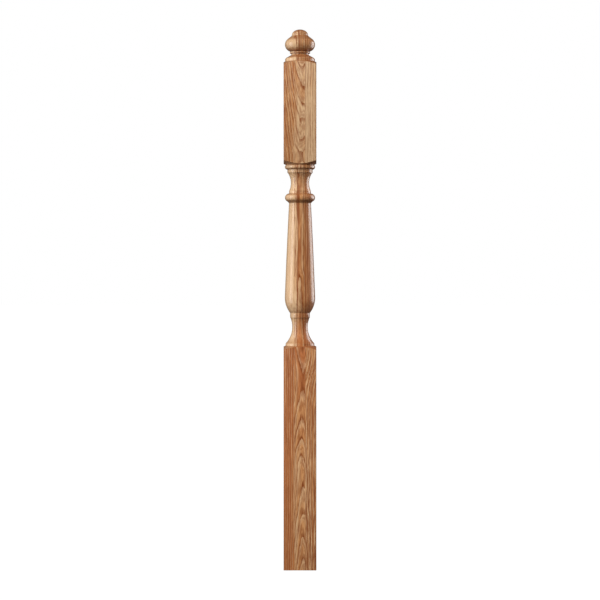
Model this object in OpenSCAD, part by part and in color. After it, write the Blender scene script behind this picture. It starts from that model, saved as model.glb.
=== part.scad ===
// Turned newel post for a stair balustrade.
// One length of square stock: a long base block, a turned vase and column,
// an upper block that takes the handrail, and a turned mushroom cap.
// The post stands on its underside, with the turning axis on Z. Units are millimetres.
// A depth is measured in from the flat face of the stock, as a turner measures a cut.

/* [Stock] */
// Width of the square stock across the flats
stock_w = 82.5; // [65:0.5:120]
// Rounding of the four long edges of the stock
arris_r = 1.5; // [0.5:0.25:5]
// Slope of the turned shoulders where square meets round, in degrees from level
shoulder_slope = 25; // [10:1:40]

/* [Base block] */
// Length of the base block, up the middle of a face
base_block_h = 562.5; // [250:0.5:1000]

/* [Lower vase] */
// Depth of the ring that sits on the base block
foot_ring_depth = 4.8; // [3:0.1:8]
// Height of the foot ring
foot_ring_h = 5.3; // [2:0.1:12]
// Depth of the lower cove at its narrowest
lower_neck_depth = 21.6; // [18:0.1:26]
// Radius of the lower cove's own curve
lower_cove_curve = 60.8; // [45:0.2:90]
// Depth of the collar under the bulb
bulb_collar_depth = 16.2; // [13:0.1:19.5]
// How far the lower cove stops short of the collar under the bulb
bulb_collar_step = 0.8; // [0.4:0.1:1.2]
// Height of the collar under the bulb
bulb_collar_h = 11.7; // [4:0.1:24]
// Depth of the bulb at its belly, where it is widest
belly_depth = 2.9; // [1:0.1:6]
// Radius of the curve that rounds the bulb under its belly
bulb_curve = 63.2; // [40:0.2:90]

/* [Column] */
// Depth at the top of the tapered column
column_top_depth = 13.6; // [11:0.1:17]
// Length of the column, from the belly up to the flare under the band
column_h = 239; // [120:0.5:400]
// How far the column swells past a straight taper at mid height
entasis = 0.5; // [0:0.1:1]

/* [Band] */
// How far the flare under the band spreads from the column
flare_out = 4.2; // [2:0.1:5.2]
// Height of the flare under the band
flare_h = 4.4; // [2:0.1:9]
// Radius of the half-round band
band_curve = 10.4; // [8:0.1:12.5]
// Depth of the plain neck that carries the band
band_neck_depth = 13.6; // [11.2:0.1:16.4]
// Height of the plain neck that shows above the band
band_neck_h = 6.6; // [2:0.1:15]

/* [Upper cove] */
// Depth of the upper cove at its narrowest
upper_neck_depth = 18.2; // [15.1:0.1:24]
// Radius of the upper cove's own curve
upper_cove_curve = 45.8; // [35:0.2:70]
// Depth of the collar on the upper cove
cove_collar_depth = 9.3; // [7.7:0.1:11.5]
// How far the upper cove stops short of its collar
cove_collar_step = 1; // [0.4:0.1:2]
// Height of the collar on the upper cove
cove_collar_h = 8.4; // [4:0.1:16]
// Radius of the half-round bead on that collar
block_bead_curve = 6.3; // [5.2:0.1:7.6]
// Depth of the groove between the bead and the upper block
groove_depth = 5.6; // [4.6:0.1:7]

/* [Upper block] */
// Length of the upper block, up the middle of a face
upper_block_h = 256.8; // [120:0.2:450]

/* [Cap moulding] */
// Depth of the rim that sits on the upper block
cap_rim_depth = 3.6; // [2:0.1:6]
// Height of the rim's straight edge
cap_rim_h = 4.4; // [2:0.1:9]
// Rounding where the rim turns over to the slope
cap_rim_curve = 5.5; // [2:0.1:7]
// Slope of the moulding from the rim to the neck, in degrees from level
cap_slope = 29; // [20:1:40]
// Rounding where the slope turns up to the neck
cap_neck_curve = 4; // [2:0.1:6]
// Depth of the neck under the cap
cap_neck_depth = 19.4; // [16:0.1:23.4]
// Height of the neck's straight stretch
cap_neck_h = 0.8; // [0.4:0.1:4]
// Radius of the half-round ring on the neck
neck_ring_curve = 2.8; // [2:0.1:3.4]
// How far the neck ring stands out past the neck
neck_ring_out = 3.9; // [3.2:0.1:5]

/* [Mushroom cap] */
// Depth of the mushroom cap at its widest
mushroom_depth = 3.2; // [1:0.1:6]
// Radius of the cap's round edge
mushroom_curve = 17.8; // [14.5:0.1:21.5]
// Slope of the cap's shoulder up to the dome, in degrees from level
mushroom_slope = 38; // [30:1:46]
// Rounding where the cap's shoulder turns up to the dome
ogee_curve = 4; // [1:0.1:5]
// Depth of the dome on the cap, at its foot
dome_depth = 20.8; // [17:0.1:25]
// Height of the dome
dome_h = 13.8; // [9:0.2:18]

/* [Hidden] */
$fn = 96;
wood_colour = [0.70, 0.47, 0.29];
// Angle between neighbouring points of a round stretch
curve_step = 4;
// Stretches that the column's swell is drawn in
entasis_steps = 12;
// Lets the stock and the lathe's outline run past each other
past = 1;

face_r = stock_w / 2;
// Outside the stock's corners, so the lathe leaves the blocks square
clear_r = face_r * sqrt(2) + past;

foot_ring_r = face_r - foot_ring_depth;
lower_neck_r = face_r - lower_neck_depth;
bulb_collar_r = face_r - bulb_collar_depth;
belly_r = face_r - belly_depth;
column_top_r = face_r - column_top_depth;
flare_r = column_top_r + flare_out;
band_neck_r = face_r - band_neck_depth;
upper_neck_r = face_r - upper_neck_depth;
cove_collar_r = face_r - cove_collar_depth;
groove_r = face_r - groove_depth;
cap_rim_r = face_r - cap_rim_depth;
cap_neck_r = face_r - cap_neck_depth;
mushroom_r = face_r - mushroom_depth;
dome_r = face_r - dome_depth;

// Height along a curve from its narrowest or widest place to where
// its radius has changed by the given amount
function curve_rise(curve, change) = sqrt(curve * curve - (curve - change) * (curve - change));

// Height of a turned shoulder's slope between radius r and the flat face
function shoulder_rise(r) = (face_r - r) * tan(shoulder_slope);

// Points [radius, level] along an arc, from one angle to the other.
// skip = 1 leaves out the first, where the stretch before it has ended.
function arc(centre, curve, from, to, skip = 0) =
    let (steps = max(2, ceil(abs(to - from) / curve_step)))
    [for (i = [skip:steps])
        let (a = from + (to - from) * i / steps)
        centre + curve * [cos(a), sin(a)]];

// A cove between two levels, hollowed about a centre outside the post
function cove(centre, curve, from_z, to_z) =
    arc(centre, curve, 180 - asin((from_z - centre[1]) / curve), 180 - asin((to_z - centre[1]) / curve));

// A straight taper with a slight swell, without its lower end
function swelled_taper(low, high) =
    [for (i = [1:entasis_steps])
        let (t = i / entasis_steps)
        low + (high - low) * t + [4 * entasis * t * (1 - t), 0]];

// A dome from the side of its foot to its apex, without the foot
function dome(radius, height, foot_z) =
    let (steps = ceil(90 / curve_step))
    [for (i = [1:steps])
        let (a = 90 * i / steps)
        [radius * cos(a), foot_z + height * sin(a)]];

// Base block, foot ring and lower vase
foot_ring_z = base_block_h + shoulder_rise(foot_ring_r);
lower_cove_z = foot_ring_z + foot_ring_h;
lower_neck_z = lower_cove_z + curve_rise(lower_cove_curve, foot_ring_r - lower_neck_r);
bulb_collar_z = lower_neck_z
    + curve_rise(lower_cove_curve, bulb_collar_r - bulb_collar_step - lower_neck_r);
bulb_z = bulb_collar_z + bulb_collar_h;
belly_z = bulb_z + curve_rise(bulb_curve, belly_r - bulb_collar_r);

base_outline = [
    [0, 0],
    [clear_r, 0],
    [clear_r, base_block_h + shoulder_rise(clear_r)],
    [foot_ring_r, foot_ring_z]
];
lower_vase_outline = concat(
    cove([lower_neck_r + lower_cove_curve, lower_neck_z], lower_cove_curve, lower_cove_z, bulb_collar_z),
    [[bulb_collar_r, bulb_collar_z]]
);

// Bulb and column. The bulb's curve runs on until it has the column's own slope.
flare_z = belly_z + column_h;
taper_angle = atan((belly_r - column_top_r - 4 * entasis) / column_h);
bulb_centre = [belly_r - bulb_curve, belly_z];
bulb_from = -acos((bulb_collar_r - bulb_centre[0]) / bulb_curve);
column_foot = bulb_centre + bulb_curve * [cos(taper_angle), sin(taper_angle)];

column_outline = concat(
    arc(bulb_centre, bulb_curve, bulb_from, taper_angle),
    swelled_taper(column_foot, [column_top_r, flare_z])
);

// Band, upper cove and bead. The flare and the groove both end on a round member,
// at the angle where it has their radius.
band_foot_angle = -acos((flare_r - band_neck_r) / band_curve);
band_z = flare_z + flare_h - band_curve * sin(band_foot_angle);
upper_cove_z = band_z + band_curve + band_neck_h;
upper_neck_z = upper_cove_z + curve_rise(upper_cove_curve, band_neck_r - upper_neck_r);
cove_collar_z = upper_neck_z
    + curve_rise(upper_cove_curve, cove_collar_r - cove_collar_step - upper_neck_r);
block_bead_z = cove_collar_z + cove_collar_h + block_bead_curve;
groove_angle = acos((groove_r - cove_collar_r) / block_bead_curve);
groove_z = block_bead_z + block_bead_curve * sin(groove_angle);

band_outline = concat(
    arc([band_neck_r, band_z], band_curve, band_foot_angle, 90),
    cove([upper_neck_r + upper_cove_curve, upper_neck_z], upper_cove_curve, upper_cove_z, cove_collar_z),
    [[cove_collar_r, cove_collar_z]],
    arc([cove_collar_r, block_bead_z], block_bead_curve, -90, groove_angle)
);

// Upper block, between a shoulder that rises to its corners and one that falls to them
upper_block_z = groove_z + shoulder_rise(groove_r);
cap_shoulder_z = upper_block_z + upper_block_h;
cap_rim_z = cap_shoulder_z + shoulder_rise(cap_rim_r);

upper_block_outline = [
    [clear_r, upper_block_z - shoulder_rise(clear_r)],
    [clear_r, cap_shoulder_z + shoulder_rise(clear_r)],
    [cap_rim_r, cap_rim_z]
];

// Cap moulding. The rim's rounding and the neck's are both tangent to the slope between them.
rim_turn = 90 - cap_slope;
rim_centre = [cap_rim_r - cap_rim_curve, cap_rim_z + cap_rim_h];
slope_foot = rim_centre + cap_rim_curve * [cos(rim_turn), sin(rim_turn)];
slope_head_r = cap_neck_r + cap_neck_curve * (1 - cos(rim_turn));
slope_head_z = slope_foot[1] + (slope_foot[0] - slope_head_r) * tan(cap_slope);
neck_centre = [cap_neck_r + cap_neck_curve, slope_head_z + cap_neck_curve * sin(rim_turn)];
ring_foot_z = neck_centre[1] + cap_neck_h;
ring_centre = [cap_neck_r + neck_ring_out - neck_ring_curve, ring_foot_z + neck_ring_curve];

cap_moulding_outline = concat(
    arc(rim_centre, cap_rim_curve, 0, rim_turn),
    arc(neck_centre, cap_neck_curve, 180 + rim_turn, 180),
    [[cap_neck_r, ring_foot_z]],
    arc(ring_centre, neck_ring_curve, -90, 90)
);

// Mushroom cap. It springs from the top of the ring, or from its own lowest circle
// where that lies further out, and its shoulder turns up to the dome.
ring_top_z = ring_centre[1] + neck_ring_curve;
mushroom_from = -acos(max(0, ring_centre[0] - mushroom_r + mushroom_curve) / mushroom_curve);
mushroom_turn = 90 - mushroom_slope;
mushroom_centre = [mushroom_r - mushroom_curve, ring_top_z - mushroom_curve * sin(mushroom_from)];
shoulder_foot = mushroom_centre + mushroom_curve * [cos(mushroom_turn), sin(mushroom_turn)];
shoulder_head_r = dome_r + ogee_curve * (1 - cos(mushroom_turn));
shoulder_head_z = shoulder_foot[1] + (shoulder_foot[0] - shoulder_head_r) * tan(mushroom_slope);
dome_z = shoulder_head_z + ogee_curve * sin(mushroom_turn);
overall_h = dome_z + dome_h;

mushroom_outline = concat(
    arc(mushroom_centre, mushroom_curve, mushroom_from, mushroom_turn, skip = 1),
    arc([dome_r + ogee_curve, dome_z], ogee_curve, 180 + mushroom_turn, 180),
    dome(dome_r, dome_h, dome_z)
);

// Square stock with its long edges eased
module stock() {
    height = overall_h + past;
    inner_w = stock_w - 2 * arris_r;
    for (size = [[stock_w, inner_w], [inner_w, stock_w]])
        translate([-size[0] / 2, -size[1] / 2, 0])
            cube([size[0], size[1], height]);
    for (x = [-1, 1], y = [-1, 1])
        translate([x * inner_w / 2, y * inner_w / 2, 0])
            cylinder(r = arris_r, h = height);
}

// What the lathe leaves, which is wider than the stock at the two blocks
module turning()
    rotate_extrude()
        polygon(concat(
            base_outline,
            lower_vase_outline,
            column_outline,
            band_outline,
            upper_block_outline,
            cap_moulding_outline,
            mushroom_outline
        ));

module newel_post()
    color(wood_colour)
        intersection() {
            stock();
            turning();
        }

newel_post();
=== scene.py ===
"""Looks of a turned oak newel post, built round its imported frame.

The post is one solid. Its outline is drawn member by member, spun on the lathe's axis
and cut to the square stock. The oak is a solid texture, so the figure runs on through
the blocks, the turned members and the end grain. Lengths are in metres.
"""

import logging
import math
from collections.abc import Callable
from dataclasses import dataclass, field
from enum import Enum
from typing import NamedTuple

import bmesh
import bpy
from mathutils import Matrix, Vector


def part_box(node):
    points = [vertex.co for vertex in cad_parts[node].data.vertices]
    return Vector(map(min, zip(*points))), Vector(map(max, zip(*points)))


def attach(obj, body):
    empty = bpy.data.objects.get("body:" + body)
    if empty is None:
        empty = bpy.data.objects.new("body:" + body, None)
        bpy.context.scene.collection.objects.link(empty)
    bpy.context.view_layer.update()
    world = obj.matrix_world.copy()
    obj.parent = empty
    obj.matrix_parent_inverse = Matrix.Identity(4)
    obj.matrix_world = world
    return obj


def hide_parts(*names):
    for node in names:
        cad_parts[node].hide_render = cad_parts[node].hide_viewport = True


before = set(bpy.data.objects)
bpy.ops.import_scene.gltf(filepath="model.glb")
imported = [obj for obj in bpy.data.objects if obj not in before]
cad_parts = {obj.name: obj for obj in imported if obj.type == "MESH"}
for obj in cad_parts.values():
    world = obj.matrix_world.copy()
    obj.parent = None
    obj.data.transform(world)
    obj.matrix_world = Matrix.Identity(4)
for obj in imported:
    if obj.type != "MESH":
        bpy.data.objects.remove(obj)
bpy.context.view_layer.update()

NODE = "newel_post"
MM = 0.001
# Degrees between two points of an arc.
ARC_STEP = 3.0
# The middle of the noises and masks, which run from 0 to 1.
MIDDLE = 0.5

logging.basicConfig(level=logging.INFO, format="%(message)s")
log = logging.getLogger("newel")

Point = tuple[float, float]
Points = tuple[Point, ...]
Triple = tuple[float, float, float]
Colour = tuple[float, float, float, float]
Socket = bpy.types.NodeSocket
Input = Socket | float | Triple | Colour
Inputs = dict[int | str, Input]
Setting = str | bool | bpy.types.NodeTree
Piece = bpy.types.Object


# -------------------------------- outline


def lean(angle: float) -> tuple[float, float]:
    """Cosine and sine of an angle in degrees."""
    return math.cos(math.radians(angle)), math.sin(math.radians(angle))


def arc(centre: Point, curve: float, start: float, end: float, skip: int = 0) -> list[Point]:
    """Points along an arc of the outline, ARC_STEP degrees apart or less.

    Args:
        centre: Radius and level of the arc's centre.
        curve: The arc's own radius.
        start: First angle, in degrees, 0 pointing away from the axis.
        end: Last angle, in degrees.
        skip: 1 leaves out the first point, where the stretch before has ended.

    Returns:
        Pairs of radius and level.
    """
    count = max(2, math.ceil(abs(end - start) / ARC_STEP))
    points = []
    for index in range(skip, count + 1):
        cosine, sine = lean(start + (end - start) * index / count)
        points.append((centre[0] + curve * cosine, centre[1] + curve * sine))
    return points


def rise(curve: float, change: float) -> float:
    """Height along a curve until its radius has changed by the given amount."""
    return math.sqrt(curve**2 - (curve - change) ** 2)


def cove(narrow: float, level: float, curve: float, low: float, high: float) -> list[Point]:
    """A hollow between two levels.

    Args:
        narrow: Radius at the narrowest place.
        level: Level of the narrowest place.
        curve: Radius of the hollow's own curve.
        low: Level where the hollow starts.
        high: Level where it ends.

    Returns:
        Pairs of radius and level.
    """
    start = 180 - math.degrees(math.asin((low - level) / curve))
    end = 180 - math.degrees(math.asin((high - level) / curve))
    return arc((narrow + curve, level), curve, start, end)


@dataclass
class Stock:
    """The square blank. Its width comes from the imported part."""

    width: float
    height: float
    arris: float = 1.5 * MM
    shoulder_slope: float = 25.0
    clearance: float = 2.0 * MM

    @property
    def face(self) -> float:
        """Distance from the axis to a flat face."""
        return self.width / 2

    @property
    def clear(self) -> float:
        """A radius outside the blank's corners."""
        return self.face * math.sqrt(2) + self.clearance

    def shoulder(self, radius: float) -> float:
        """Height of a turned shoulder between this radius and the flat face."""
        return (self.face - radius) * math.tan(math.radians(self.shoulder_slope))


@dataclass
class Member:
    """Turned members. Their depths are measured in from the stock's flat face."""

    stock: Stock


@dataclass
class LowerVase(Member):
    """Foot ring, lower cove and collar."""

    ring_depth: float = 4.8 * MM
    ring_height: float = 5.3 * MM
    neck_depth: float = 21.6 * MM
    cove_curve: float = 60.8 * MM
    collar_depth: float = 16.2 * MM
    collar_step: float = 0.8 * MM
    collar_height: float = 11.7 * MM

    def outline(self, block_top: float) -> list[Point]:
        """The members from the base block's shoulder to the top of the collar.

        Args:
            block_top: Level of the base block's edge, up the middle of a face.

        Returns:
            Pairs of radius and level.
        """
        ring = self.stock.face - self.ring_depth
        neck = self.stock.face - self.neck_depth
        collar = self.stock.face - self.collar_depth
        ring_foot = block_top + self.stock.shoulder(ring)
        cove_foot = ring_foot + self.ring_height
        neck_level = cove_foot + rise(self.cove_curve, ring - neck)
        cove_head = neck_level + rise(self.cove_curve, collar - self.collar_step - neck)
        return [
            (ring, ring_foot),
            *cove(neck, neck_level, self.cove_curve, cove_foot, cove_head),
            (collar, cove_head),
            (collar, cove_head + self.collar_height),
        ]


@dataclass
class Column(Member):
    """The bulb and the tapered column that grows out of it.

    Entasis is how far the column stands out from a straight taper, half way up.
    """

    belly_depth: float = 2.9 * MM
    bulb_curve: float = 63.2 * MM
    top_depth: float = 13.6 * MM
    length: float = 239.0 * MM
    entasis: float = 0.5 * MM
    swell_steps: int = 24

    def outline(self, foot: Point) -> list[Point]:
        """The column from the top of the collar under the bulb to the flare.

        Args:
            foot: Radius and level where the bulb starts.

        Returns:
            Pairs of radius and level.
        """
        belly = self.stock.face - self.belly_depth
        top = self.stock.face - self.top_depth
        belly_level = foot[1] + rise(self.bulb_curve, belly - foot[0])
        bow = 4 * self.entasis
        slope = math.degrees(math.atan((belly - top - bow) / self.length))
        centre = (belly - self.bulb_curve, belly_level)
        start = -math.degrees(math.acos((foot[0] - centre[0]) / self.bulb_curve))
        points = arc(centre, self.bulb_curve, start, slope, skip=1)
        low, high = points[-1], (top, belly_level + self.length)
        for step in range(1, self.swell_steps + 1):
            t = step / self.swell_steps
            radius = low[0] + (high[0] - low[0]) * t + bow * t * (1 - t)
            points.append((radius, low[1] + (high[1] - low[1]) * t))
        return points


@dataclass
class BandAndCove(Member):
    """Flare, half-round band, upper cove, collar and the bead under the upper block."""

    flare_out: float = 4.2 * MM
    flare_height: float = 4.4 * MM
    band_curve: float = 10.4 * MM
    band_neck_depth: float = 13.6 * MM
    band_neck_height: float = 6.6 * MM
    neck_depth: float = 18.2 * MM
    cove_curve: float = 45.8 * MM
    collar_depth: float = 9.3 * MM
    collar_step: float = 1.0 * MM
    collar_height: float = 8.4 * MM
    bead_curve: float = 6.3 * MM
    groove_depth: float = 5.6 * MM

    def outline(self, foot: Point) -> list[Point]:
        """The members from the top of the column to the groove under the upper block.

        Args:
            foot: Radius and level at the top of the column.

        Returns:
            Pairs of radius and level.
        """
        band_neck = self.stock.face - self.band_neck_depth
        neck = self.stock.face - self.neck_depth
        collar = self.stock.face - self.collar_depth
        groove = self.stock.face - self.groove_depth
        flare = foot[0] + self.flare_out
        band_start = -math.degrees(math.acos((flare - band_neck) / self.band_curve))
        band_level = foot[1] + self.flare_height - self.band_curve * lean(band_start)[1]
        cove_foot = band_level + self.band_curve + self.band_neck_height
        neck_level = cove_foot + rise(self.cove_curve, band_neck - neck)
        cove_head = neck_level + rise(self.cove_curve, collar - self.collar_step - neck)
        bead_level = cove_head + self.collar_height + self.bead_curve
        groove_angle = math.degrees(math.acos((groove - collar) / self.bead_curve))
        return [
            *arc((band_neck, band_level), self.band_curve, band_start, 90),
            *cove(neck, neck_level, self.cove_curve, cove_foot, cove_head),
            (collar, cove_head),
            *arc((collar, bead_level), self.bead_curve, -90, groove_angle),
        ]


@dataclass
class CapMoulding(Member):
    """Rim, slope, neck and neck ring on top of the upper block."""

    rim_depth: float = 3.6 * MM
    rim_height: float = 4.4 * MM
    rim_curve: float = 5.5 * MM
    slope: float = 29.0
    neck_curve: float = 4.0 * MM
    neck_depth: float = 19.4 * MM
    neck_height: float = 0.8 * MM
    ring_curve: float = 2.8 * MM
    ring_out: float = 3.9 * MM

    def outline(self, block_top: float) -> list[Point]:
        """The members from the upper block's shoulder to the top of the neck ring.

        Args:
            block_top: Level of the upper block's edge, up the middle of a face.

        Returns:
            Pairs of radius and level.
        """
        rim = self.stock.face - self.rim_depth
        neck = self.stock.face - self.neck_depth
        rim_level = block_top + self.stock.shoulder(rim)
        turn = 90 - self.slope
        cosine, sine = lean(turn)
        rim_centre = (rim - self.rim_curve, rim_level + self.rim_height)
        foot = (rim_centre[0] + self.rim_curve * cosine, rim_centre[1] + self.rim_curve * sine)
        head = neck + self.neck_curve * (1 - cosine)
        head_level = foot[1] + (foot[0] - head) * math.tan(math.radians(self.slope))
        neck_centre = (neck + self.neck_curve, head_level + self.neck_curve * sine)
        ring_foot = neck_centre[1] + self.neck_height
        ring_centre = (neck + self.ring_out - self.ring_curve, ring_foot + self.ring_curve)
        return [
            (rim, rim_level),
            *arc(rim_centre, self.rim_curve, 0, turn),
            *arc(neck_centre, self.neck_curve, 180 + turn, 180),
            (neck, ring_foot),
            *arc(ring_centre, self.ring_curve, -90, 90),
        ]


@dataclass
class MushroomCap(Member):
    """The round cap and the dome on it."""

    depth: float = 3.2 * MM
    curve: float = 17.8 * MM
    slope: float = 38.0
    ogee_curve: float = 4.0 * MM
    dome_depth: float = 20.8 * MM
    dome_height: float = 13.8 * MM
    dome_steps: int = 30

    def outline(self, foot: Point) -> list[Point]:
        """The cap from the top of the neck ring to its apex.

        Args:
            foot: Radius and level at the top of the neck ring.

        Returns:
            Pairs of radius and level, the last one on the axis.
        """
        wide = self.stock.face - self.depth
        dome = self.stock.face - self.dome_depth
        start = -math.degrees(math.acos((foot[0] - wide + self.curve) / self.curve))
        turn = 90 - self.slope
        cosine, sine = lean(turn)
        centre = (wide - self.curve, foot[1] - self.curve * lean(start)[1])
        shoulder = (centre[0] + self.curve * cosine, centre[1] + self.curve * sine)
        head = dome + self.ogee_curve * (1 - cosine)
        head_level = shoulder[1] + (shoulder[0] - head) * math.tan(math.radians(self.slope))
        dome_level = head_level + self.ogee_curve * sine
        points = [
            *arc(centre, self.curve, start, turn, skip=1),
            *arc((dome + self.ogee_curve, dome_level), self.ogee_curve, 180 + turn, 180),
        ]
        for step in range(1, self.dome_steps + 1):
            angle = math.pi / 2 * step / self.dome_steps
            radius = dome * math.cos(angle) if step < self.dome_steps else 0.0
            points.append((radius, dome_level + self.dome_height * math.sin(angle)))
        return points


# -------------------------------- modelling


def only(piece: Piece) -> None:
    """Makes one object the active one and the only one selected.

    Args:
        piece: The object.
    """
    bpy.ops.object.select_all(action="DESELECT")
    piece.select_set(True)
    bpy.context.view_layer.objects.active = piece


def select_edges(piece: Piece, wanted: Callable[[Vector, Vector], bool]) -> None:
    """Selects, in edit mode, the edges that a test picks.

    Args:
        piece: The object, which is in edit mode.
        wanted: Takes the edge's two ends and says whether it is picked.
    """
    bpy.ops.mesh.select_all(action="DESELECT")
    bpy.ops.mesh.select_mode(type="EDGE")
    mesh = bmesh.from_edit_mesh(piece.data)
    for edge in mesh.edges:
        edge.select_set(wanted(edge.verts[0].co, edge.verts[1].co))
    bmesh.update_edit_mesh(piece.data)


def apply_modifier(piece: Piece, kind: str, **values: float | str | bool | Piece) -> None:
    """Adds a modifier with the given values and applies it.

    Args:
        piece: The object that gets it.
        kind: Blender's name for the kind of modifier.
        values: The modifier's own settings.
    """
    only(piece)
    modifier = piece.modifiers.new(kind.lower(), kind)
    for name, value in values.items():
        setattr(modifier, name, value)
    bpy.ops.object.modifier_apply(modifier=modifier.name)


# -------------------------------- shader graph


class Maths(Enum):
    """The sums that the shader graphs use."""

    ADD = "ADD"
    SUBTRACT = "SUBTRACT"
    MULTIPLY = "MULTIPLY"
    DIVIDE = "DIVIDE"
    GREATER = "GREATER_THAN"
    FLOOR = "FLOOR"
    FRACTION = "FRACT"
    SIZE = "ABSOLUTE"
    LARGER = "MAXIMUM"


class Span(Enum):
    """Lowest and highest value that a curve over the levels can give."""

    SIDEWAYS = (-100.0, 100.0)
    AHEAD = (0.0, 100.0)
    HEART = (-20.0, 20.0)
    REACH = (0.0, 10.0)
    SHARE = (0.0, 1.0)
    STRENGTH = (0.0, 2.0)


@dataclass(frozen=True)
class Ramp:
    """A smooth change from start to end while a measure goes from low to high."""

    low: float
    high: float
    start: float = 0.0
    end: float = 1.0


@dataclass(frozen=True)
class Patches:
    """A smooth noise drawn out along the grain.

    Width and length are the size of its patches in millimetres, detail adds finer layers,
    and weight is how much it counts where it is centred on 0.
    """

    width: float
    length: float
    detail: float = 1.0
    weight: float = 1.0

    @property
    def shrink(self) -> Triple:
        """What turns millimetres into patches."""
        return 1 / self.width, 1 / self.width, 1 / self.length


class Graph:
    """Adds nodes to one tree and links them."""

    def __init__(self, tree: bpy.types.NodeTree) -> None:
        """Empties the tree and takes it over."""
        self.tree = tree
        self.tree.nodes.clear()

    def node(self, kind: str, inputs: Inputs | None = None, **settings: Setting) -> bpy.types.Node:
        """Adds a node, and links its inputs or sets their plain values.

        Args:
            kind: Blender's name for the kind of node.
            inputs: What each input gets, by its name or place.
            settings: The node's own settings.

        Returns:
            The node.
        """
        made = self.tree.nodes.new(kind)
        for name, value in settings.items():
            setattr(made, name, value)
        for name, value in (inputs or {}).items():
            self.feed(made.inputs[name], value)
        return made

    def feed(self, socket: Socket, value: Input) -> None:
        """Links a socket to another, or sets its plain value.

        Args:
            socket: The input to feed.
            value: Another node's output, or a number, vector or colour.
        """
        if isinstance(value, bpy.types.NodeSocket):
            self.tree.links.new(value, socket)
        else:
            socket.default_value = value

    def math(self, kind: Maths, first: Input, second: Input = 0.0) -> Socket:
        """One sum of two sockets or numbers."""
        inputs = {0: first, 1: second}
        return self.node("ShaderNodeMath", inputs, operation=kind.value).outputs[0]

    def add(self, first: Input, second: Input) -> Socket:
        """Two numbers added."""
        return self.math(Maths.ADD, first, second)

    def less(self, first: Input, second: Input) -> Socket:
        """The second number taken from the first."""
        return self.math(Maths.SUBTRACT, first, second)

    def times(self, first: Input, second: Input) -> Socket:
        """Two numbers multiplied."""
        return self.math(Maths.MULTIPLY, first, second)

    def share(self, first: Input, second: Input) -> Socket:
        """The first number divided by the second."""
        return self.math(Maths.DIVIDE, first, second)

    def size(self, value: Input) -> Socket:
        """A number without its sign."""
        return self.math(Maths.SIZE, value)

    def past(self, value: Input, edge: float) -> Socket:
        """1 where the value is past the edge, and 0 before it."""
        return self.math(Maths.GREATER, value, edge)

    def split(self, vector: Socket) -> tuple[Socket, Socket, Socket]:
        """The three parts of a vector."""
        return tuple(self.node("ShaderNodeSeparateXYZ", {0: vector}).outputs)

    def vector(self, x: Input, y: Input, z: Input) -> Socket:
        """A vector from three sockets or numbers."""
        return self.node("ShaderNodeCombineXYZ", {0: x, 1: y, 2: z}).outputs[0]

    def away(self, x: Socket, y: Socket) -> Socket:
        """Distance from an upright line, from how far it is sideways and backwards."""
        level = self.vector(x, y, 0.0)
        return self.node("ShaderNodeVectorMath", {0: level}, operation="LENGTH").outputs["Value"]

    def noise(self, place: Socket, detail: float) -> Socket:
        """Smooth noise about the middle of 0 and 1, with this much finer detail."""
        inputs = {"Vector": place, "Scale": 1.0, "Detail": detail}
        return self.node("ShaderNodeTexNoise", inputs).outputs["Fac"]

    def grain_noise(self, place: Socket, patches: Patches) -> Socket:
        """Smooth noise drawn out along the grain, about the middle of 0 and 1."""
        inputs = {0: place, 1: patches.shrink}
        drawn = self.node("ShaderNodeVectorMath", inputs, operation="MULTIPLY")
        return self.noise(drawn.outputs[0], patches.detail)

    def waver(self, place: Socket, patches: Patches) -> Socket:
        """Smooth noise along the grain, about 0, by its weight."""
        return self.times(self.less(self.grain_noise(place, patches), MIDDLE), patches.weight)

    def ease(self, value: Input, ramp: Ramp) -> Socket:
        """Maps a value smoothly along a ramp, flat outside it."""
        inputs = {0: value, 1: ramp.low, 2: ramp.high, 3: ramp.start, 4: ramp.end}
        return self.node("ShaderNodeMapRange", inputs, interpolation_type="SMOOTHSTEP").outputs[0]

    def blend(self, share: Input, first: Input, second: Input) -> Socket:
        """Mixes two colours by a share from 0 to 1."""
        inputs = {"Factor": share, 6: first, 7: second}
        return self.node("ShaderNodeMix", inputs, data_type="RGBA").outputs[2]

    def pick(self, share: Input, first: Input, second: Input) -> Socket:
        """Mixes two numbers by a share from 0 to 1."""
        inputs = {"Factor": share, 2: first, 3: second}
        return self.node("ShaderNodeMix", inputs, data_type="FLOAT").outputs[0]

    def surface(self, kind: str, shader: Socket) -> None:
        """Adds the tree's output node and gives it a shader."""
        self.node(kind, {"Surface": shader})

    def along(self, level: Socket, height: float, points: Points, span: Span) -> Socket:
        """A number that changes with the level, smoothly through chosen points.

        Args:
            level: The level, in millimetres.
            height: The level where the curve ends.
            points: Pairs of level and value.
            span: The values between which they all lie.

        Returns:
            The number.
        """
        low, high = span.value
        inputs = {"Factor": 1.0, "Value": self.share(level, height)}
        curve = self.node("ShaderNodeFloatCurve", inputs)
        curve.mapping.extend = "HORIZONTAL"
        knots = curve.mapping.curves[0].points
        for _ in points[len(knots) :]:
            knots.new(MIDDLE, MIDDLE)
        for knot, (at, value) in zip(knots, points):
            knot.location = (at / height, (value - low) / (high - low))
        curve.mapping.update()
        return self.add(self.times(curve.outputs["Value"], high - low), low)


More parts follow.
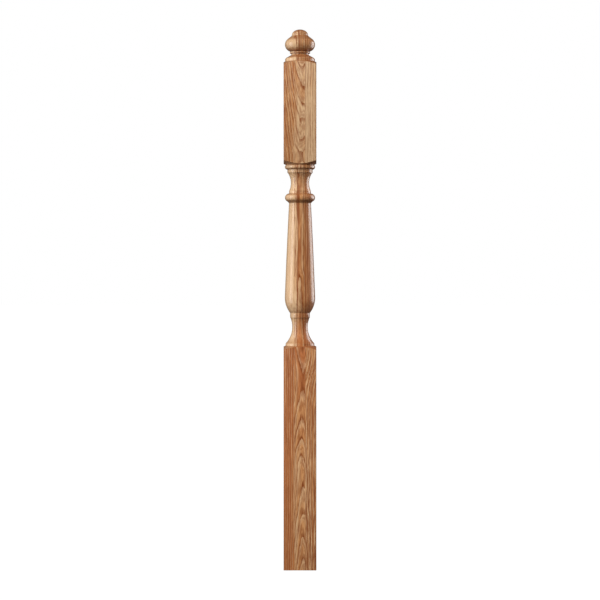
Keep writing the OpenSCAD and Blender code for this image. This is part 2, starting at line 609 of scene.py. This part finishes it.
class Group(Graph):
    """A shader node group that takes a place and numbers, and puts out numbers."""

    def __init__(self, name: str, inputs: tuple[str, ...], outputs: tuple[str, ...]) -> None:
        """Makes an empty group.

        Args:
            name: The group's name.
            inputs: Names of the numbers that it takes.
            outputs: Names of the numbers that it puts out.
        """
        super().__init__(bpy.data.node_groups.new(name, "ShaderNodeTree"))
        make = self.tree.interface.new_socket
        make("Place", in_out="INPUT", socket_type="NodeSocketVector")
        for way, names in (("INPUT", inputs), ("OUTPUT", outputs)):
            for socket in names:
                make(socket, in_out=way, socket_type="NodeSocketFloat")
        self.given = self.node("NodeGroupInput").outputs
        self.wanted = self.node("NodeGroupOutput").inputs

    def place(self, graph: Graph, **values: Input) -> bpy.types.NodeOutputs:
        """Puts the group into a graph.

        Args:
            graph: Where it goes.
            values: A socket or plain value for each input, underscores for spaces.

        Returns:
            The group node's outputs.
        """
        inputs = {name.replace("_", " "): value for name, value in values.items()}
        return graph.node("ShaderNodeGroup", inputs, node_tree=self.tree).outputs


# -------------------------------- the oak


@dataclass
class OakFigure:
    """The groups that draw the oak, shared by every finish on it.

    Lengths are in millimetres. Face is half the post's width. Bends are the noises that
    carry a growth ring to and fro, and streak_place is how fast the streaks change from
    ring to ring, across the post and up it.
    """

    height: float
    face: float
    bends: tuple[Patches, ...] = (
        Patches(width=24.0, length=110.0, weight=2.0),
        Patches(width=6.0, length=70.0, detail=2.0, weight=0.8),
        Patches(width=1.5, length=60.0, weight=0.5),
    )
    streak_place: Triple = (4.4, 0.12, 0.02)
    streak_detail: float = 2.0
    streak_edge: Ramp = Ramp(0.4, 0.62)
    pore: Patches = Patches(width=0.65, length=13.0)
    late_pore: float = 0.66
    early_pore: float = 0.46
    pore_edge: Ramp = Ramp(0.0, 0.08)
    dash: Patches = Patches(width=3.0, length=24.0, detail=2.0)
    dash_edge: Ramp = Ramp(0.44, 0.62)
    rings: Group = field(init=False)
    pores: Group = field(init=False)

    def __post_init__(self) -> None:
        """Builds the groups."""
        self.rings = self.growth_rings()
        self.pores = self.open_pores()

    def growth_rings(self) -> Group:
        """Draws the place inside a growth ring, its own tint and the streaks along it.

        Skin is how far the wood's skin lies from the axis: the flat face, or the turned
        radius. The pith keeps its distance from the skin, as it does on a straight face.

        Returns:
            The group.
        """
        group = Group(
            "Growth rings",
            ("Pith side", "Pith ahead", "Ring", "Skin", "Sway", "Seed"),
            ("Phase", "Tint", "Streaks"),
        )
        given = group.given
        x, y, z = group.split(given["Place"])
        across = group.less(x, given["Pith side"])
        deep = group.add(group.add(y, given["Skin"]), given["Pith ahead"])
        seeded = group.vector(group.add(x, given["Seed"]), y, group.add(z, given["Seed"]))
        bend: Input = 0.0
        for patches in self.bends:
            bend = group.add(bend, group.waver(seeded, patches))
        straight = group.share(group.away(across, deep), given["Ring"])
        count = group.add(straight, group.times(bend, given["Sway"]))
        number = group.add(group.math(Maths.FLOOR, count), given["Seed"])
        tint = group.node("ShaderNodeTexWhiteNoise", {"W": number}, noise_dimensions="1D")
        parts = [group.times(*pair) for pair in zip((count, x, z), self.streak_place)]
        streaks = group.noise(group.vector(*parts), self.streak_detail)
        group.feed(group.wanted["Phase"], group.math(Maths.FRACTION, count))
        group.feed(group.wanted["Tint"], tint.outputs["Value"])
        group.feed(group.wanted["Streaks"], group.ease(streaks, self.streak_edge))
        return group

    def open_pores(self) -> Group:
        """Draws open vessels and longer dashes of them, drawn out along the grain.

        Returns:
            The group.
        """
        group = Group("Open pores", ("Early",), ("Pores", "Dashes"))
        place, early = group.given["Place"], group.given["Early"]
        least = group.pick(early, self.late_pore, self.early_pore)
        over = group.less(group.grain_noise(place, self.pore), least)
        group.feed(group.wanted["Pores"], group.ease(over, self.pore_edge))
        dashes = group.grain_noise(place, self.dash)
        group.feed(group.wanted["Dashes"], group.ease(dashes, self.dash_edge))
        return group


@dataclass(frozen=True)
class Growth:
    """How the tree grew in a board, in millimetres.

    The pith runs up in front of the post: side is how far it is to the right of the axis,
    and ahead how far in front of the wood's skin. Where it draws away from the skin and
    comes back, the rings leave the skin in the arched figure of flat-sawn oak.
    """

    side: Points
    ahead: Points
    ring: float


@dataclass(frozen=True)
class Board:
    """One of the boards that the blank is laid up from, in its blocks and its turned wood.

    Every pair holds a level in millimetres and the value there. Warmth goes from pale to
    red-brown, and lines is how strongly the rings are drawn.
    """

    blocks: Growth
    turned: Growth
    warmth: Points
    lines: Points
    # On the front of the turned wood, the board's tone with painted light and shade: paler on the
    # key-lit left, redder on the shaded right.
    turned_warmth_and_shading: float
    turned_lines: float
    seed: float


@dataclass(frozen=True)
class Tones:
    """Colours of the wood under its finish; dark also serves as painted shade on the block arrises,
    and end as painted shade on the turned shoulders besides the end grain's own tone.
    """

    pale: Colour
    tan: Colour
    warm: Colour
    dark: Colour
    end: Colour


def arches(levels: tuple[float, ...], first: float, step: float) -> Points:
    """Where the pith runs so that a new arch has its tip at each level.

    Args:
        levels: The tips' levels.
        first: How far ahead the pith is at the first of them.
        step: How much farther at each next one, a ring's width either way.

    Returns:
        Pairs of level and distance ahead.
    """
    return tuple((level, first + step * index) for index, level in enumerate(levels))


# Widths of the growth rings on the flat faces, in millimetres.
RING = 3.2
WIDE_RING = 6.2
UPPER_ARCHES = (
    *arches((1035, 1080, 1134, 1179, 1217, 1268), 64, -RING),
    (1310, 44), (1363, 39),
)
TURNED = Growth(
    side=((0, -6), (900, -6), (1250, -22), (1363, -22)),
    ahead=(
        (0, 42), (570, 42), (640, 43.6), (690, 44.5), (739, 45), (755, 46.6), (800, 47.3),
        (850, 47), (869, 46.6), (960, 45.3), (1000, 44.5), (1250, 18), (1363, 18),
    ),
    ring=4.5,
)
LEFT_BOARD = Board(
    blocks=Growth(
        side=((0, 18), (560, 18), (700, 14), (960, 5), (1363, 5)),
        ahead=((0, 56), (560, 58), (930, 62), *UPPER_ARCHES),
        ring=RING,
    ),
    turned=TURNED,
    warmth=(
        (0, 0.84), (450, 0.9), (560, 0.92), (990, 0.38), (1100, 0.44), (1200, 0.58), (1363, 0.7),
    ),
    lines=((0, 0.9), (400, 1.1), (480, 1.3), (560, 1.35), (990, 1.0), (1150, 1.25), (1363, 1.3)),
    turned_warmth_and_shading=-0.22,
    turned_lines=0.42,
    seed=3.0,
)
MIDDLE_BOARD = Board(
    blocks=Growth(
        side=(
            (0, 7), (200, 7), (330, 3), (460, 7), (560, 7), (640, -6), (940, -6), (1030, 5),
            (1363, 5),
        ),
        ahead=(
            (0, 20.6),
            *arches((30, 83, 146, 209, 283, 326, 376, 460), 22.4, RING),
            (500, 44.8), (562, 41.6), (640, 40), (739, 43), (805, 41.2), (869, 37.2), (940, 44),
            *UPPER_ARCHES,
        ),
        ring=RING,
    ),
    turned=TURNED,
    warmth=(
        (0, 0.44), (250, 0.34), (400, 0.48), (480, 0.68), (560, 0.75), (990, 0.28), (1363, 0.32),
    ),
    lines=((0, 1.0), (560, 1.1), (1000, 0.85), (1363, 1.0)),
    turned_warmth_and_shading=0.0,
    turned_lines=1.15,
    seed=3.0,
)
RIGHT_BOARD = Board(
    blocks=Growth(
        side=((0, -58), (400, -58), (450, -54), (560, -36), (900, -50), (1363, -50)),
        ahead=((0, 22), (700, 26), (1363, 20)),
        ring=WIDE_RING,
    ),
    turned=Growth(side=((0, -58), (1363, -58)), ahead=((0, 22), (1363, 22)), ring=WIDE_RING),
    warmth=((0, 0.38), (560, 0.52), (985, 0.08), (1363, 0.06)),
    lines=((0, 1.75), (560, 1.3), (985, 0.7), (1363, 0.9)),
    turned_warmth_and_shading=0.4,
    turned_lines=1.0,
    seed=87.0,
)


@dataclass(frozen=True)
class Spot:
    """Where a point of the wood lies, in millimetres, as sockets of a graph.

    Inner goes from 0 on the stock's flat faces to 1 on the turned wood below them, and
    turned is the same with a sharp edge. Skin is how far the wood's skin lies from the
    axis. Front goes from 1 on the front to 0 at the back.
    """

    graph: Graph
    oak: OakFigure
    place: Socket
    x: Socket
    y: Socket
    z: Socket
    inner: Socket
    turned: Socket
    skin: Socket
    front: Socket

    def along(self, points: Points, span: Span) -> Socket:
        """A number that changes with the level, smoothly through chosen points."""
        return self.graph.along(self.z, self.oak.height, points, span)


class Figure(NamedTuple):
    """The boards' figure at a point.

    Phase is the place inside a growth ring, tint the ring's own number, and streaks a
    mask of the dark streaks along it. Warmth is the tone and lines their strength.
    """

    phase: Socket
    tint: Socket
    streaks: Socket
    warmth: Socket
    lines: Socket


@dataclass(frozen=True)
class ClearOak:
    """Red oak under a clear satin lacquer.

    In front, the turned wood shows its dark heart to the right of a vein; that red-brown is partly
    the wood's heart and partly painted shade on the side away from the key light, and the turned
    wood's left front is painted paler as if lit.
    Heart is where the vein runs, to the right of the axis, and vein_reach how far it spreads.
    """

    name: str = "clear_oak"
    tones: Tones = Tones(
        pale=(0.68, 0.45, 0.25, 1.0),
        tan=(0.58, 0.275, 0.105, 1.0),
        warm=(0.43, 0.135, 0.037, 1.0),
        dark=(0.225, 0.056, 0.011, 1.0),
        # end is the end grain's tone, and also painted shade on the turned shoulders
        end=(0.3, 0.098, 0.026, 1.0),
    )
    boards: tuple[Board, ...] = (LEFT_BOARD, MIDDLE_BOARD, RIGHT_BOARD)
    glue_lines: tuple[float, ...] = (-15.1, 12.5)
    heart: Points = (
        (0, -7), (560, -8), (640, -7), (750, -5.5), (900, -5), (990, -6), (1275, -5),
        (1315, -2.5), (1363, -5),
    )
    # how much redder the heart is, partly painted shade on the side of the turned wood away from
    # the key light
    heart_warmth_and_shade: Points = (
        (0, 0.88), (630, 0.84), (690, 0.43), (940, 0.43), (965, 0.26), (1275, 0.36), (1305, 0.26),
        (1363, 0.22),
    )
    vein_reach: Points = (
        (0, 2), (862, 1.8), (885, 3), (935, 6), (958, 2.2), (990, 1.5), (1363, 2.3),
    )
    clouds: Patches = Patches(width=13.0, length=190.0, weight=0.9)
    side_warmth: float = 0.48
    side_lines: float = 0.7
    sway: float = 0.45
    turned_sway: float = 0.22
    ring_tint: float = 0.22
    streak_shade: float = 0.5
    dash_shade: float = 0.22
    pore_shade: float = 0.4
    roughness: float = 0.5
    pore_roughness: float = 0.68
    sawn_roughness: float = 0.85
    specular: float = 0.3
    coat: float = 0.9
    coat_roughness: float = 0.16
    pore_bump: float = 0.25
    pore_depth: float = 0.12
    # Ramps over millimetres
    heart_edge: Ramp = Ramp(-1.0, 0.8)
    turned_below: Ramp = Ramp(0.6, 2.4)
    front_fade: Ramp = Ramp(-14.0, 12.0, 1.0, 0.0)
    # painted shade that darkens the arrises of the square blocks, over millimetres in from the
    # corner
    painted_arris_shade: Ramp = Ramp(1.0, 2.6, 0.5, 0.0)
    sawn_below: Ramp = Ramp(0.05, 0.25, 1.0, 0.0)
    # Ramps over warmth, over the place inside a ring and over masks
    to_tan: Ramp = Ramp(0.0, 0.5)
    to_warm: Ramp = Ramp(0.4, 1.0)
    late_wood: Ramp = Ramp(0.5, 0.95, 0.0, 0.5)
    early_wood: Ramp = Ramp(0.02, 0.3, 1.1, 0.0)
    line_breaks: Ramp = Ramp(0.0, 1.0, 0.45, 1.0)
    vein_fade: Ramp = Ramp(0.3, 1.0, 0.85, 0.0)
    end_grain_and_shade: Ramp = Ramp(0.4, 0.92, 0.0, 0.7)

    def spot(self, graph: Graph, oak: OakFigure, place: Socket) -> Spot:
        """Works out where a point of the wood lies.

        Args:
            graph: The material's graph.
            oak: The shared groups.
            place: Object coordinates in millimetres.

        Returns:
            The spot.
        """
        x, y, z = graph.split(place)
        outward = graph.math(Maths.LARGER, graph.size(x), graph.size(y))
        inner = graph.ease(graph.less(oak.face, outward), self.turned_below)
        turned = graph.past(inner, MIDDLE)
        return Spot(
            graph=graph,
            oak=oak,
            place=place,
            x=x,
            y=y,
            z=z,
            inner=inner,
            turned=turned,
            skin=graph.pick(turned, oak.face, graph.away(x, y)),
            front=graph.ease(y, self.front_fade),
        )

    def board_figure(self, spot: Spot, board: Board) -> Figure:
        """The figure as if the whole post were of one board.

        Args:
            spot: The point of the wood.
            board: The board.

        Returns:
            The board's figure.
        """
        graph, turned = spot.graph, spot.turned
        growths = (board.blocks, board.turned)
        rings = spot.oak.rings.place(
            graph,
            Place=spot.place,
            Pith_side=graph.pick(turned, *(spot.along(one.side, Span.SIDEWAYS) for one in growths)),
            Pith_ahead=graph.pick(turned, *(spot.along(one.ahead, Span.AHEAD) for one in growths)),
            Ring=graph.pick(turned, *(one.ring for one in growths)),
            Skin=spot.skin,
            Sway=graph.pick(turned, self.sway, self.turned_sway),
            Seed=board.seed,
        )
        # On the front of the turned wood each board's tone carries painted light and shade: paler
        # on the key-lit left, redder on the shaded right.
        turned_warmth_and_shading = graph.pick(spot.front, self.side_warmth, board.turned_warmth_and_shading)
        warmth = graph.pick(spot.inner, spot.along(board.warmth, Span.SHARE), turned_warmth_and_shading)
        lines = graph.pick(spot.inner, spot.along(board.lines, Span.STRENGTH), board.turned_lines)
        lines = graph.times(lines, graph.pick(spot.front, self.side_lines, 1.0))
        return Figure(rings["Phase"], rings["Tint"], rings["Streaks"], warmth, lines)

    def figure(self, spot: Spot) -> Figure:
        """The figure over all the boards, each between its glue lines.

        Args:
            spot: The point of the wood.

        Returns:
            The figure.
        """
        graph = spot.graph
        figures = [self.board_figure(spot, board) for board in self.boards]
        shown = figures[0]
        for glue_line, beyond in zip(self.glue_lines, figures[1:]):
            past = graph.past(spot.x, glue_line)
            shown = Figure(*(graph.pick(past, *pair) for pair in zip(shown, beyond)))
        return shown

    def tone(self, spot: Spot, figure: Figure, heart: Socket) -> Socket:
        """The wood's own tone, before the lines are drawn on it.

        Args:
            spot: The point of the wood.
            figure: The boards' figure there.
            heart: Mask of the dark heart, partly painted shade on the side away from the key light.

        Returns:
            The colour.
        """
        graph = spot.graph
        # the heart's red-brown, partly the wood's heart and partly painted shade
        redder = spot.along(self.heart_warmth_and_shade, Span.SHARE)
        warmth = graph.add(figure.warmth, graph.times(heart, redder))
        tint = graph.less(figure.tint, MIDDLE)
        warmth = graph.add(warmth, graph.times(tint, self.ring_tint))
        warmth = graph.add(warmth, graph.waver(spot.place, self.clouds))
        tones = self.tones
        wood = graph.blend(graph.ease(warmth, self.to_tan), tones.pale, tones.tan)
        return graph.blend(graph.ease(warmth, self.to_warm), wood, tones.warm)

    def colour(self, spot: Spot) -> tuple[Socket, Socket]:
        """The wood's colour, from the boards' tone to the pores.

        Args:
            spot: The point of the wood.

        Returns:
            The colour and the mask of the open pores.
        """
        graph = spot.graph
        figure = self.figure(spot)
        turned_front = graph.times(spot.inner, spot.front)
        # Red-brown right of the heart line on the front of the turned wood: partly the wood's
        # heart, partly painted shade on the side away from the key light.
        past_heart = graph.less(spot.x, spot.along(self.heart, Span.HEART))
        heart = graph.times(graph.ease(past_heart, self.heart_edge), turned_front)
        wood = self.tone(spot, figure, heart)
        late = graph.times(graph.ease(figure.phase, self.late_wood), figure.lines)
        wood = graph.blend(late, wood, self.tones.pale)
        early = graph.times(graph.ease(figure.phase, self.early_wood), figure.lines)
        pores = spot.oak.pores.place(graph, Place=spot.place, Early=early)
        off_vein = graph.share(graph.size(past_heart), spot.along(self.vein_reach, Span.REACH))
        corner = graph.add(graph.size(spot.x), graph.size(spot.y))
        marks = (
            graph.times(early, graph.ease(pores["Dashes"], self.line_breaks)),
            graph.times(graph.times(figure.streaks, figure.lines), self.streak_shade),
            graph.times(graph.times(pores["Dashes"], figure.lines), self.dash_shade),
            graph.times(graph.ease(off_vein, self.vein_fade), turned_front),
            graph.times(pores["Pores"], self.pore_shade),
            # painted shade darkening the arrises of the square blocks
            graph.ease(graph.less(2 * spot.oak.face, corner), self.painted_arris_shade),
        )
        for mark in marks:
            wood = graph.blend(mark, wood, self.tones.dark)
        # Darker where the wood faces up or down: partly the end grain's own tone, partly painted
        # shade on the turned shoulders and under the members.
        normal = graph.node("ShaderNodeTexCoord").outputs["Normal"]
        end = graph.ease(graph.size(graph.split(normal)[2]), self.end_grain_and_shade)
        return graph.blend(end, wood, self.tones.end), pores["Pores"]

    def material(self, oak: OakFigure) -> bpy.types.Material:
        """Builds the material. The sawn underside is left without lacquer.

        Args:
            oak: The shared groups.

        Returns:
            The finished material.
        """
        made = bpy.data.materials.new(self.name)
        made.use_nodes = True
        graph = Graph(made.node_tree)
        metres = graph.node("ShaderNodeTexCoord").outputs["Object"]
        inputs = {0: metres, "Scale": 1 / MM}
        place = graph.node("ShaderNodeVectorMath", inputs, operation="SCALE").outputs[0]
        spot = self.spot(graph, oak, place)
        colour, pores = self.colour(spot)
        sawn = graph.ease(spot.z, self.sawn_below)
        rough = graph.pick(pores, self.roughness, self.pore_roughness)
        inputs = {
            "Strength": self.pore_bump,
            "Distance": self.pore_depth * MM,
            "Height": graph.less(1.0, pores),
        }
        bump = graph.node("ShaderNodeBump", inputs)
        inputs = {
            "Base Color": colour,
            "Roughness": graph.pick(sawn, rough, self.sawn_roughness),
            "Coat Weight": graph.pick(sawn, self.coat, 0.0),
            "Specular IOR Level": self.specular,
            "Coat Roughness": self.coat_roughness,
            "Normal": bump.outputs["Normal"],
        }
        shader = graph.node("ShaderNodeBsdfPrincipled", inputs)
        graph.surface("ShaderNodeOutputMaterial", shader.outputs[0])
        return made


# -------------------------------- the post


@dataclass
class Post:
    """The whole post: square blocks and turned members on one axis."""

    stock: Stock
    base_block: float = 562.5 * MM
    upper_block: float = 256.8 * MM
    finish: ClearOak = ClearOak()
    segments: int = 144
    spare: float = 10 * MM
    arris_steps: int = 5
    eased: float = 0.35 * MM
    eased_steps: int = 2
    eased_from: float = 24.0
    smooth_below: float = 35.0
    spin_weld: float = 0.002 * MM
    weld: float = 0.01 * MM

    def outline(self) -> list[Point]:
        """Draws the lathe's outline, from the axis at the floor to the cap's apex.

        Returns:
            Pairs of radius and level.
        """
        clear = self.stock.clear
        vase = LowerVase(self.stock).outline(self.base_block)
        column = Column(self.stock).outline(vase[-1])
        band = BandAndCove(self.stock).outline(column[-1])
        groove_radius, groove_level = band[-1]
        block_foot = groove_level + self.stock.shoulder(groove_radius)
        block_top = block_foot + self.upper_block
        moulding = CapMoulding(self.stock).outline(block_top)
        cap = MushroomCap(self.stock).outline(moulding[-1])
        log.info("upper block from %.1f to %.1f mm", block_foot / MM, block_top / MM)
        return [
            (0.0, 0.0),
            (clear, 0.0),
            (clear, self.base_block + self.stock.shoulder(clear)),
            *vase,
            *column,
            *band,
            (clear, block_foot - self.stock.shoulder(clear)),
            (clear, block_top + self.stock.shoulder(clear)),
            *moulding,
            *cap,
        ]

    def turning(self) -> Piece:
        """Spins the outline into a closed body, wider than the stock at the blocks.

        Returns:
            The body.
        """
        outline = self.outline()
        bpy.ops.mesh.primitive_plane_add(size=self.stock.width)
        body = bpy.context.object
        body.name = "turning"
        bpy.ops.object.mode_set(mode="EDIT")
        bpy.ops.mesh.select_all(action="SELECT")
        bpy.ops.mesh.merge(type="CENTER")
        for (radius, level), (next_radius, next_level) in zip(outline, outline[1:]):
            step = (next_radius - radius, 0.0, next_level - level)
            bpy.ops.mesh.extrude_region_move(TRANSFORM_OT_translate={"value": step})
        bpy.ops.mesh.select_all(action="SELECT")
        bpy.ops.mesh.spin(steps=self.segments, angle=math.tau, center=(0, 0, 0), axis=(0, 0, 1))
        bpy.ops.mesh.select_all(action="SELECT")
        bpy.ops.mesh.remove_doubles(threshold=self.spin_weld)
        bpy.ops.mesh.normals_make_consistent(inside=False)
        bpy.ops.object.mode_set(mode="OBJECT")
        return body

    def blank(self) -> Piece:
        """Makes the square stock, longer than the post, with its four arrises rounded.

        Returns:
            The stock.
        """
        bpy.ops.mesh.primitive_cube_add(size=1.0)
        piece = bpy.context.object
        bpy.ops.object.mode_set(mode="EDIT")
        bpy.ops.mesh.select_all(action="SELECT")
        height = self.stock.height + 2 * self.spare
        bpy.ops.transform.resize(value=(self.stock.width, self.stock.width, height))
        bpy.ops.transform.translate(value=(0, 0, self.stock.height / 2))
        select_edges(piece, lambda a, b: abs(a.z - b.z) > self.stock.width)
        bpy.ops.mesh.bevel(offset=self.stock.arris, segments=self.arris_steps, affect="EDGES")
        bpy.ops.object.mode_set(mode="OBJECT")
        return piece

    def build(self) -> Piece:
        """Cuts the turning out of the stock and eases the sharp turned edges.

        Returns:
            The post's one piece, at the origin.
        """
        turning = self.turning()
        post = self.blank()
        post.name = post.data.name = "turned_post"
        apply_modifier(post, "BOOLEAN", operation="INTERSECT", solver="EXACT", object=turning)
        bpy.data.objects.remove(turning)
        apply_modifier(
            post,
            "BEVEL",
            width=self.eased,
            segments=self.eased_steps,
            limit_method="ANGLE",
            angle_limit=math.radians(self.eased_from),
            use_clamp_overlap=True,
        )
        only(post)
        bpy.ops.object.mode_set(mode="EDIT")
        bpy.ops.mesh.select_all(action="SELECT")
        bpy.ops.mesh.remove_doubles(threshold=self.weld)
        bpy.ops.mesh.normals_make_consistent(inside=False)
        bpy.ops.object.mode_set(mode="OBJECT")
        bpy.ops.object.shade_smooth_by_angle(angle=math.radians(self.smooth_below))
        return post

    def dress(self, post: Piece) -> None:
        """Gives the post its finish.

        Args:
            post: The post's one piece.
        """
        oak = OakFigure(height=self.stock.height / MM, face=self.stock.face / MM)
        post.data.materials.append(self.finish.material(oak))


# -------------------------------- studio


def stand(name: str, data: bpy.types.ID, spot: Vector, towards: Vector) -> Piece:
    """Puts a light or a camera in the scene.

    Args:
        name: Its name.
        data: The light or the camera.
        spot: Where it stands.
        towards: Which way it points.

    Returns:
        The object.
    """
    made = bpy.data.objects.new(name, data)
    made.location = spot
    made.rotation_euler = towards.to_track_quat("-Z", "Y").to_euler()
    bpy.context.scene.collection.objects.link(made)
    return made


@dataclass(frozen=True)
class PaleFloor:
    """A pale floor that glows evenly and can't be seen from below."""

    name: str = "pale_floor"
    colour: Colour = (0.08, 0.08, 0.08, 1.0)
    glow: float = 0.96

    def material(self) -> bpy.types.Material:
        """Builds the material.

        Returns:
            The finished material.
        """
        made = bpy.data.materials.new(self.name)
        made.use_nodes = True
        graph = Graph(made.node_tree)
        pale = graph.node("ShaderNodeBsdfDiffuse", {"Color": self.colour}).outputs[0]
        glow = graph.node("ShaderNodeEmission", {"Strength": self.glow}).outputs[0]
        lit = graph.node("ShaderNodeAddShader", {0: pale, 1: glow}).outputs[0]
        clear = graph.node("ShaderNodeBsdfTransparent").outputs[0]
        below = graph.node("ShaderNodeNewGeometry").outputs["Backfacing"]
        seen = graph.node("ShaderNodeMixShader", {0: below, 1: lit, 2: clear})
        graph.surface("ShaderNodeOutputMaterial", seen.outputs[0])
        return made


@dataclass(frozen=True)
class Panel:
    """A soft light panel that faces the post.

    Azimuth 0 is the camera's side and positive is to its right.
    """

    name: str
    azimuth: float
    level: float
    width: float
    height: float
    watts: float
    distance: float = 2.2
    aim: float = 0.75

    def light(self) -> None:
        """Makes the panel's light and turns it to the post."""
        data = bpy.data.lights.new(self.name, "AREA")
        data.shape = "RECTANGLE"
        data.size, data.size_y = self.width, self.height
        data.energy = self.watts
        cosine, sine = lean(self.azimuth)
        spot = Vector((sine * self.distance, -cosine * self.distance, self.level))
        stand(self.name, data, spot, Vector((0.0, 0.0, self.aim)) - spot)


@dataclass
class Studio:
    """Pale floor, white surround, soft panels and the camera.

    Room is how the surround's light on the wood grows from below to above, and
    room_shine how bright the lacquer mirrors it.
    """

    panels: tuple[Panel, ...] = (
        Panel("key_panel", azimuth=-74.0, level=1.05, width=1.0, height=2.5, watts=26.0),
        Panel("rim_panel", azimuth=-112.0, level=1.05, width=0.9, height=2.5, watts=5.0),
        Panel("edge_panel", azimuth=116.0, level=1.2, width=1.5, height=2.0, watts=38.0),
    )
    fill_strength: float = 2.95
    fill_azimuth: float = -18.0
    fill_rise: float = 34.0
    fill_spread: float = 50.0
    room: Ramp = Ramp(-0.6, 0.5, 0.08, 0.32)
    room_shine: float = 0.06
    white: Colour = (1.0, 1.0, 1.0, 1.0)
    floor_size: float = 80.0
    camera_distance: float = 5.32
    camera_level: float = 0.754
    aim_level: float = 0.6799
    lens: float = 126.14

    def floor(self) -> None:
        """Lays the floor, which throws no light back."""
        bpy.ops.mesh.primitive_plane_add(size=self.floor_size)
        floor = bpy.context.object
        floor.name = "floor"
        floor.data.materials.append(PaleFloor().material())
        floor.visible_diffuse = False
        floor.visible_glossy = False
        floor.visible_shadow = False

    def fill(self) -> None:
        """A broad soft light from high in front, which leaves no mirror image on the lacquer."""
        data = bpy.data.lights.new("front_fill", "SUN")
        data.energy = self.fill_strength
        data.angle = math.radians(self.fill_spread)
        ahead, aside = lean(self.fill_azimuth)
        level, down = lean(self.fill_rise)
        shine = Vector((-aside * level, ahead * level, -down))
        stand("front_fill", data, Vector(), shine).visible_glossy = False

    def surround(self) -> None:
        """White to the camera, and a soft grey room to the wood, darker below."""
        world = bpy.data.worlds.new("surround")
        bpy.context.scene.world = world
        world.use_nodes = True
        graph = Graph(world.node_tree)
        up = graph.split(graph.node("ShaderNodeTexCoord").outputs["Generated"])[2]
        path = graph.node("ShaderNodeLightPath").outputs
        lit = graph.pick(path["Is Glossy Ray"], graph.ease(up, self.room), self.room_shine)
        room = graph.node("ShaderNodeBackground", {"Strength": lit}).outputs[0]
        white = graph.node("ShaderNodeBackground", {"Color": self.white}).outputs[0]
        inputs = {0: path["Is Camera Ray"], 1: room, 2: white}
        seen = graph.node("ShaderNodeMixShader", inputs)
        graph.surface("ShaderNodeOutputWorld", seen.outputs[0])

    def camera(self) -> None:
        """A long lens at mid height, square to the front face."""
        data = bpy.data.cameras.new("camera")
        data.lens = self.lens
        data.clip_end = self.floor_size
        spot = Vector((0.0, -self.camera_distance, self.camera_level))
        towards = Vector((0.0, 0.0, self.aim_level)) - spot
        bpy.context.scene.camera = stand("camera", data, spot, towards)

    def build(self) -> None:
        """Sets up the studio."""
        bpy.context.scene.view_settings.view_transform = "Standard"
        self.surround()
        self.floor()
        for panel in self.panels:
            panel.light()
            log.info("%s: %g W", panel.name, panel.watts)
        self.fill()
        self.camera()


# -------------------------------- main


def main() -> None:
    """Builds the post, dresses it and sets up the studio."""
    low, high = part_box(NODE)
    plan = Post(Stock(width=high.x - low.x, height=high.z))
    post = plan.build()
    plan.dress(post)
    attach(post, "root")
    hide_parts(NODE)
    log.info("%s: %d faces", post.name, len(post.data.polygons))
    Studio().build()


if __name__ == "__main__":
    main()
